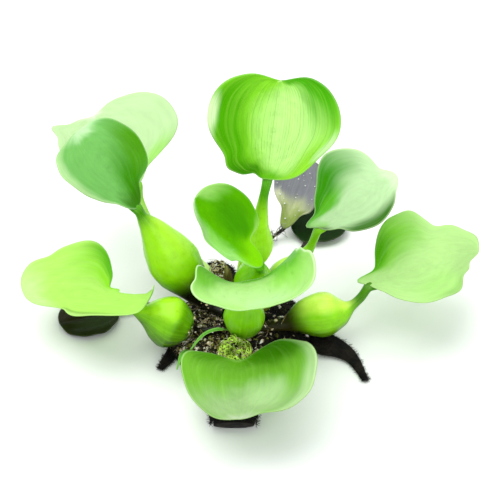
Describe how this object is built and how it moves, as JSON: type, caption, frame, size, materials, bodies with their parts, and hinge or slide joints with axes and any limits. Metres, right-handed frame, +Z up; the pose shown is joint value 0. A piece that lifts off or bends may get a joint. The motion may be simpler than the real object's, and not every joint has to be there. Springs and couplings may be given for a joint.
{
  "type": "water hyacinth plant",
  "caption": "Water hyacinth rosette with swollen float stalks, cupped glossy green blades and a flat mat of dark roots that it rests on.",
  "frame": {"origin": "middle of the root mat's flat underside, on the surface that the plant rests on", "axes": "+Z up, +X to the right and -Y towards the viewer of the picture"},
  "size_m": [0.2519, 0.2181, 0.1344],
  "materials": {
    "float_skin": "gloss",
    "blade_lime": "gloss",
    "blade_deep": "gloss",
    "blade_pale": "satin",
    "blade_mint": "satin",
    "old_gray": "matte",
    "old_dark": "satin",
    "old_stalk": "matte",
    "young_leaf": "satin",
    "papery": "matte",
    "rhizome": "matte",
    "roots": "matte"
  },
  "bodies": {
    "root": {"float_top": "float_skin", "blade_top": "blade_lime", "float_upper_left": "float_skin", "blade_upper_left": "blade_deep", "float_back_left": "float_skin", "blade_back_left": "blade_pale", "float_back_right": "float_skin", "blade_back_right": "blade_mint", "float_right": "float_skin", "blade_right": "blade_pale", "float_left": "float_skin", "blade_left": "blade_lime", "float_front_cup": "float_skin", "blade_front_cup": "blade_mint", "float_inner": "float_skin", "blade_inner": "blade_deep", "float_bottom": "float_skin", "blade_bottom": "blade_deep", "old_stalk_dark_left": "old_stalk", "old_blade_dark_left": "old_dark", "old_stalk_dark_back": "old_stalk", "old_blade_dark_back": "old_dark", "old_stalk_withered_back": "old_stalk", "old_blade_withered_back": "old_gray", "strap_leaf": "young_leaf", "strap_leaf_low": "young_leaf", "sheath": "papery", "crown": "rhizome", "root_mat": "roots", "detritus": "roots", "root_tress_right": "roots", "root_tress_front": "roots", "root_tress_back": "roots", "root_tress_left": "roots"}
  },
  "joints": []
}
